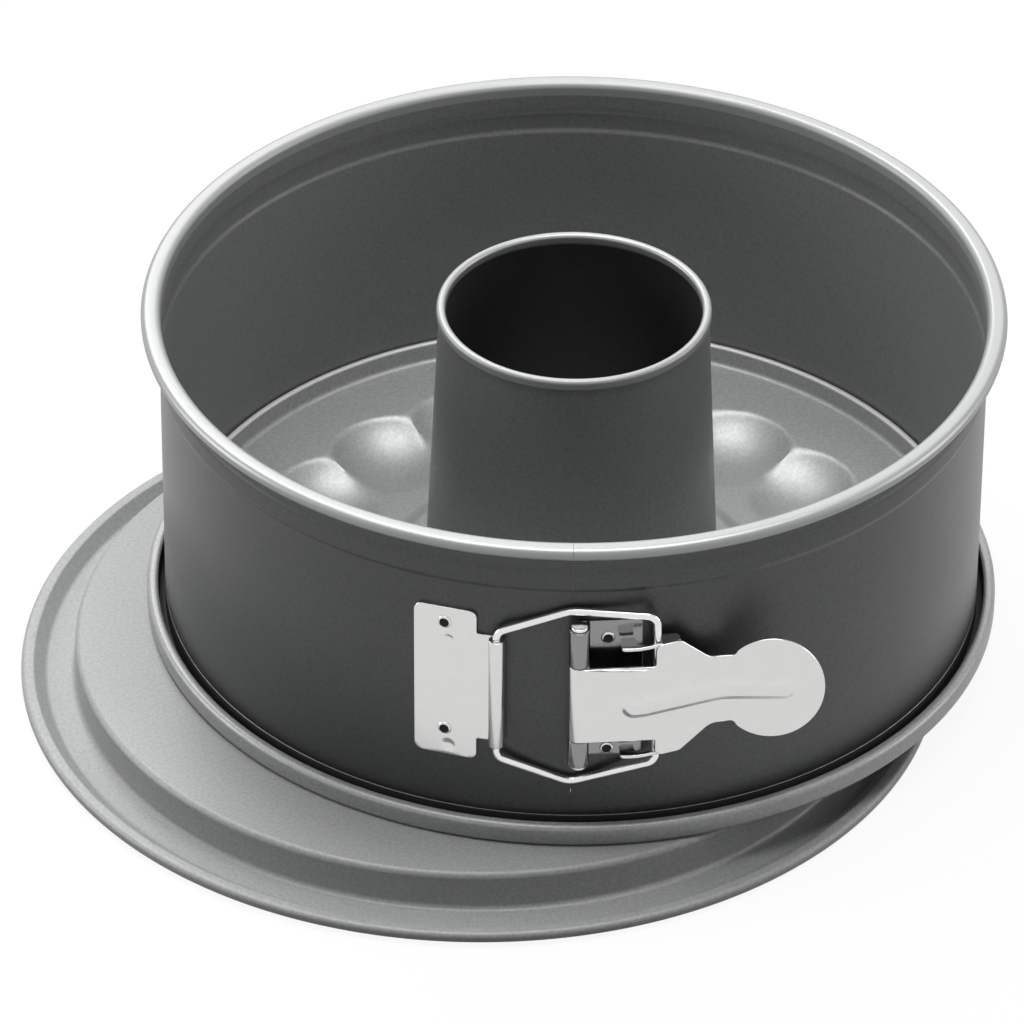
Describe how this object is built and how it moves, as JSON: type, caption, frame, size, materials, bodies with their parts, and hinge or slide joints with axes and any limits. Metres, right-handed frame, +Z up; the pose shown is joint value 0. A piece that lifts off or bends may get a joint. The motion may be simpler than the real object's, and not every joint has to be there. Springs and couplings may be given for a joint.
{
  "type": "springform ring cake pan",
  "caption": "Round springform cake pan with a latched split ring, a fluted tube base and a spare flat base with a drip lip.",
  "frame": {"origin": "centre of the whole footprint, pan and spare base together, on the surface that the spare base stands on", "axes": "+Z up along the pan's axis; -Y towards the side with the latch; +X to the right as seen from the latch, where the lever's thumb tab points"},
  "size_m": [0.2157, 0.2104, 0.0865],
  "materials": {
    "base_coating": "satin non-stick coating, light metallic grey",
    "dark_coating": "satin non-stick coating, dark metallic grey",
    "latch_plating": "bright plated sheet steel",
    "latch_wire": "bright plated wire"
  },
  "bodies": {
    "spare_base": {"flat_base": "base_coating"},
    "pan_base": {"tube_base": "base_coating", "centre_tube": "dark_coating"},
    "ring_left": {"ring_band_left": "dark_coating", "keeper_plate": "latch_plating", "keeper_rivets": "latch_plating"},
    "ring_right": {"ring_band_right": "dark_coating", "latch_bracket": "latch_plating", "bracket_rivets": "latch_plating", "hinge_pin": "latch_wire"},
    "lever": {"latch_lever": "latch_plating"},
    "wire": {"wire_bail": "latch_wire"}
  },
  "joints": [
    {"name": "pan_lift", "type": "slide", "parent": "spare_base", "child": "pan_base", "axis": [0, 0, 1], "range_m": [0, 0.04]},
    {"name": "ring_lift", "type": "slide", "parent": "pan_base", "child": "ring_left", "axis": [0, 0, 1], "range_m": [0, 0.09]},
    {"name": "ring_opening", "type": "hinge", "parent": "ring_left", "child": "ring_right", "pos_m": [0.01365, 0.10505, 0.085], "axis": [0, 0, 1], "range_deg": [0, 2.47]},
    {"name": "lever_swing", "type": "hinge", "parent": "ring_right", "child": "lever", "pos_m": [0.01561, -0.08243, 0.0478], "axis": [0, 0, -1], "range_deg": [0, 90]},
    {"name": "wire_swing", "type": "hinge", "parent": "ring_left", "child": "wire", "pos_m": [-0.00169, -0.07966, 0.0478], "axis": [0, 0, -1], "range_deg": [0, 32.33]}
  ],
  "couplings": [
    {"joint": "ring_opening", "follows": "lever_swing", "ratio": 0.027282},
    {"joint": "wire_swing", "follows": "lever_swing", "ratio": 0.35865}
  ]
}
